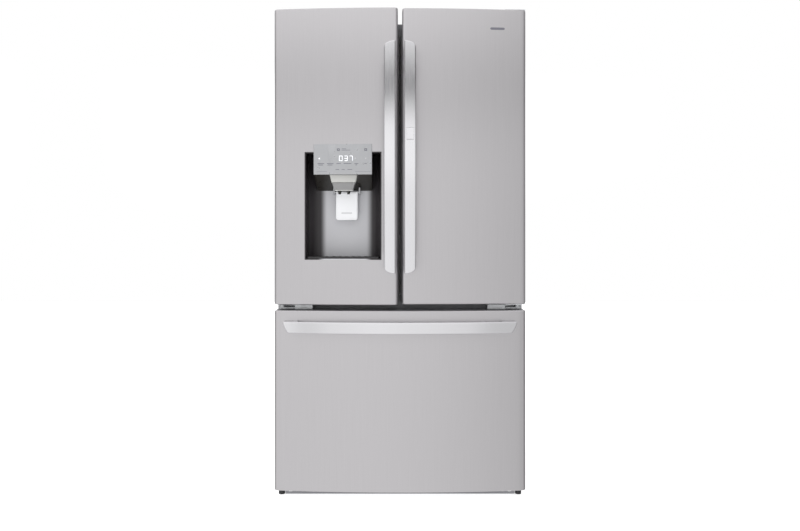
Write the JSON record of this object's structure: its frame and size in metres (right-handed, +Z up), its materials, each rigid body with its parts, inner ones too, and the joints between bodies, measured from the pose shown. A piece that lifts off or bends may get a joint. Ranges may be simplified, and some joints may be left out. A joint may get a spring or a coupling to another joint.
{
  "type": "french door refrigerator",
  "caption": "French door refrigerator with a bottom freezer drawer, bar handles, an ice and water dispenser in the left door and a door-in-door on the right.",
  "frame": {"origin": "middle of the footprint, on the floor", "axes": "+X to the viewer's right, -Y out of the front, +Z up"},
  "size_m": [0.908, 0.921, 1.772],
  "materials": {
    "air_duct": "satin",
    "back_panel": "galvanised",
    "base_grille": "satin",
    "base_plate": "galvanised",
    "cabinet_foam": "matte",
    "compressor": "satin",
    "condenser": "satin",
    "condenser_fan": "satin",
    "control_panel": "satin",
    "crisper_cover": "clear",
    "crisper_left": "clear",
    "crisper_right": "clear",
    "dispense_chute": "clear",
    "dispenser_housing": "gloss",
    "drawer_frame": "galvanised",
    "drip_tray": "gloss",
    "evaporator": "plain",
    "evaporator_cover": "satin",
    "evaporator_fan": "satin",
    "freezer_basket": "satin",
    "freezer_door": "brushed",
    "freezer_gasket": "matte",
    "freezer_handle": "satin",
    "freezer_liner": "satin",
    "freezer_tray": "clear",
    "fridge_liner": "satin",
    "ice_auger": "galvanised",
    "ice_bin": "clear",
    "ice_room_door": "satin",
    "left_bin": "clear",
    "left_door": "brushed",
    "left_door_liner": "satin",
    "left_gasket": "matte",
    "left_handle": "satin",
    "left_leg": "matte",
    "left_low_hinge": "galvanised",
    "left_rail": "galvanised",
    "left_roller": "matte",
    "left_shelf": "clear",
    "left_top_hinge": "satin",
    "lower_bin": "clear",
    "machine_cover": "galvanised",
    "middle_shelf": "clear",
    "mullion_flap": "satin",
    "outer_case": "satin",
    "paddle": "clear",
    "release_button": "satin",
    "right_handle": "satin",
    "right_inner_door": "satin",
    "right_inner_gasket": "matte",
    "right_leg": "matte",
    "right_low_hinge": "galvanised",
    "right_outer_door": "brushed",
    "right_outer_gasket": "matte",
    "right_rail": "galvanised",
    "right_roller": "matte",
    "right_shelf": "clear",
    "right_top_hinge": "satin",
    "upper_bin": "clear",
    "water_filter": "satin"
  },
  "bodies": {
    "cabinet": {"outer_case": "outer_case", "back_panel": "back_panel", "machine_cover": "machine_cover", "base_plate": "base_plate", "base_grille": "base_grille", "cabinet_foam": "cabinet_foam", "fridge_liner": "fridge_liner", "freezer_liner": "freezer_liner", "left_top_hinge": "left_top_hinge", "right_top_hinge": "right_top_hinge", "left_low_hinge": "left_low_hinge", "right_low_hinge": "right_low_hinge", "air_duct": "air_duct", "left_shelf": "left_shelf", "right_shelf": "right_shelf", "middle_shelf": "middle_shelf", "crisper_cover": "crisper_cover", "evaporator_cover": "evaporator_cover", "evaporator": "evaporator", "left_rail": "left_rail", "right_rail": "right_rail", "compressor": "compressor", "condenser": "condenser"},
    "left_door": {"left_door": "left_door", "left_door_liner": "left_door_liner", "left_gasket": "left_gasket", "left_handle": "left_handle", "left_bin": "left_bin", "dispenser_housing": "dispenser_housing", "control_panel": "control_panel", "dispense_chute": "dispense_chute", "ice_bin": "ice_bin"},
    "mullion_flap": {"mullion_flap": "mullion_flap"},
    "paddle": {"paddle": "paddle"},
    "drip_tray": {"drip_tray": "drip_tray"},
    "ice_room_door": {"ice_room_door": "ice_room_door"},
    "ice_auger": {"ice_auger": "ice_auger"},
    "right_door": {"right_inner_door": "right_inner_door", "right_inner_gasket": "right_inner_gasket", "upper_bin": "upper_bin", "lower_bin": "lower_bin"},
    "outer_door": {"right_outer_door": "right_outer_door", "right_outer_gasket": "right_outer_gasket", "right_handle": "right_handle"},
    "release_button": {"release_button": "release_button"},
    "freezer_drawer": {"freezer_door": "freezer_door", "freezer_gasket": "freezer_gasket", "freezer_handle": "freezer_handle", "drawer_frame": "drawer_frame", "freezer_basket": "freezer_basket"},
    "freezer_tray": {"freezer_tray": "freezer_tray"},
    "crisper_left": {"crisper_left": "crisper_left"},
    "crisper_right": {"crisper_right": "crisper_right"},
    "water_filter": {"water_filter": "water_filter"},
    "evaporator_fan": {"evaporator_fan": "evaporator_fan"},
    "condenser_fan": {"condenser_fan": "condenser_fan"},
    "left_leg": {"left_leg": "left_leg"},
    "right_leg": {"right_leg": "right_leg"},
    "left_roller": {"left_roller": "left_roller"},
    "right_roller": {"right_roller": "right_roller"}
  },
  "joints": [
    {"name": "left_door_hinge", "type": "hinge", "parent": "cabinet", "child": "left_door", "pos_m": [-0.43, -0.33, 0.703], "axis": [0, 0, -1], "range_deg": [0, 110]},
    {"name": "right_door_hinge", "type": "hinge", "parent": "cabinet", "child": "right_door", "pos_m": [0.43, -0.33, 0.703], "axis": [0, 0, 1], "range_deg": [0, 110]},
    {"name": "outer_door_hinge", "type": "hinge", "parent": "right_door", "child": "outer_door", "pos_m": [0.44, -0.363, 0.703], "axis": [0, 0, 1], "range_deg": [0, 105]},
    {"name": "release_button_press", "type": "slide", "parent": "outer_door", "child": "release_button", "axis": [0, 1, 0], "range_m": [0, 0.0025], "stiffness_N_per_m": 600},
    {"name": "freezer_drawer_slide", "type": "slide", "parent": "cabinet", "child": "freezer_drawer", "axis": [0, -1, 0], "range_m": [0, 0.45]},
    {"name": "freezer_tray_slide", "type": "slide", "parent": "cabinet", "child": "freezer_tray", "axis": [0, -1, 0], "range_m": [0, 0.315]},
    {"name": "crisper_left_slide", "type": "slide", "parent": "cabinet", "child": "crisper_left", "axis": [0, -1, 0], "range_m": [0, 0.231]},
    {"name": "crisper_right_slide", "type": "slide", "parent": "cabinet", "child": "crisper_right", "axis": [0, -1, 0], "range_m": [0, 0.231]},
    {"name": "mullion_flap_hinge", "type": "hinge", "parent": "left_door", "child": "mullion_flap", "pos_m": [-0.031, -0.2725, 0.76], "axis": [0, 0, -1], "range_deg": [0, 90]},
    {"name": "paddle_hinge", "type": "hinge", "parent": "left_door", "child": "paddle", "pos_m": [-0.196, -0.305, 1.112], "axis": [1, 0, 0], "range_deg": [0, 10], "stiffness_Nm_per_rad": 0.3},
    {"name": "drip_tray_slide", "type": "slide", "parent": "left_door", "child": "drip_tray", "axis": [0, -1, 0], "range_m": [0, 0.09]},
    {"name": "ice_room_door_hinge", "type": "hinge", "parent": "left_door", "child": "ice_room_door", "pos_m": [-0.053, -0.157, 1.354], "axis": [0, 0, -1], "range_deg": [0, 55]},
    {"name": "ice_auger_spin", "type": "hinge", "parent": "left_door", "child": "ice_auger", "pos_m": [-0.226, -0.289, 1.42], "axis": [0, 1, 0], "continuous": true},
    {"name": "water_filter_twist", "type": "hinge", "parent": "cabinet", "child": "water_filter", "pos_m": [0.33, 0.04, 1.645], "axis": [0, 1, 0], "range_deg": [0, 90]},
    {"name": "evaporator_fan_spin", "type": "hinge", "parent": "cabinet", "child": "evaporator_fan", "pos_m": [0, 0.357, 0.58], "axis": [0, 1, 0], "continuous": true},
    {"name": "condenser_fan_spin", "type": "hinge", "parent": "cabinet", "child": "condenser_fan", "pos_m": [-0.005, 0.33, 0.14], "axis": [1, 0, 0], "continuous": true},
    {"name": "left_leg_screw", "type": "hinge", "parent": "cabinet", "child": "left_leg", "pos_m": [-0.436, -0.3, 0], "axis": [0, 0, 1], "continuous": true},
    {"name": "right_leg_screw", "type": "hinge", "parent": "cabinet", "child": "right_leg", "pos_m": [0.436, -0.3, 0], "axis": [0, 0, 1], "continuous": true},
    {"name": "left_roller_spin", "type": "hinge", "parent": "cabinet", "child": "left_roller", "pos_m": [-0.38, 0.4, 0.018], "axis": [1, 0, 0], "continuous": true},
    {"name": "right_roller_spin", "type": "hinge", "parent": "cabinet", "child": "right_roller", "pos_m": [0.38, 0.4, 0.018], "axis": [1, 0, 0], "continuous": true}
  ],
  "couplings": [
    {"joint": "freezer_tray_slide", "follows": "freezer_drawer_slide", "ratio": 0.7},
    {"joint": "crisper_left_slide", "follows": "left_door_hinge", "m_per_rad": 0.12},
    {"joint": "crisper_right_slide", "follows": "right_door_hinge", "m_per_rad": 0.12},
    {"joint": "ice_room_door_hinge", "follows": "left_door_hinge", "ratio": 0.5}
  ]
}
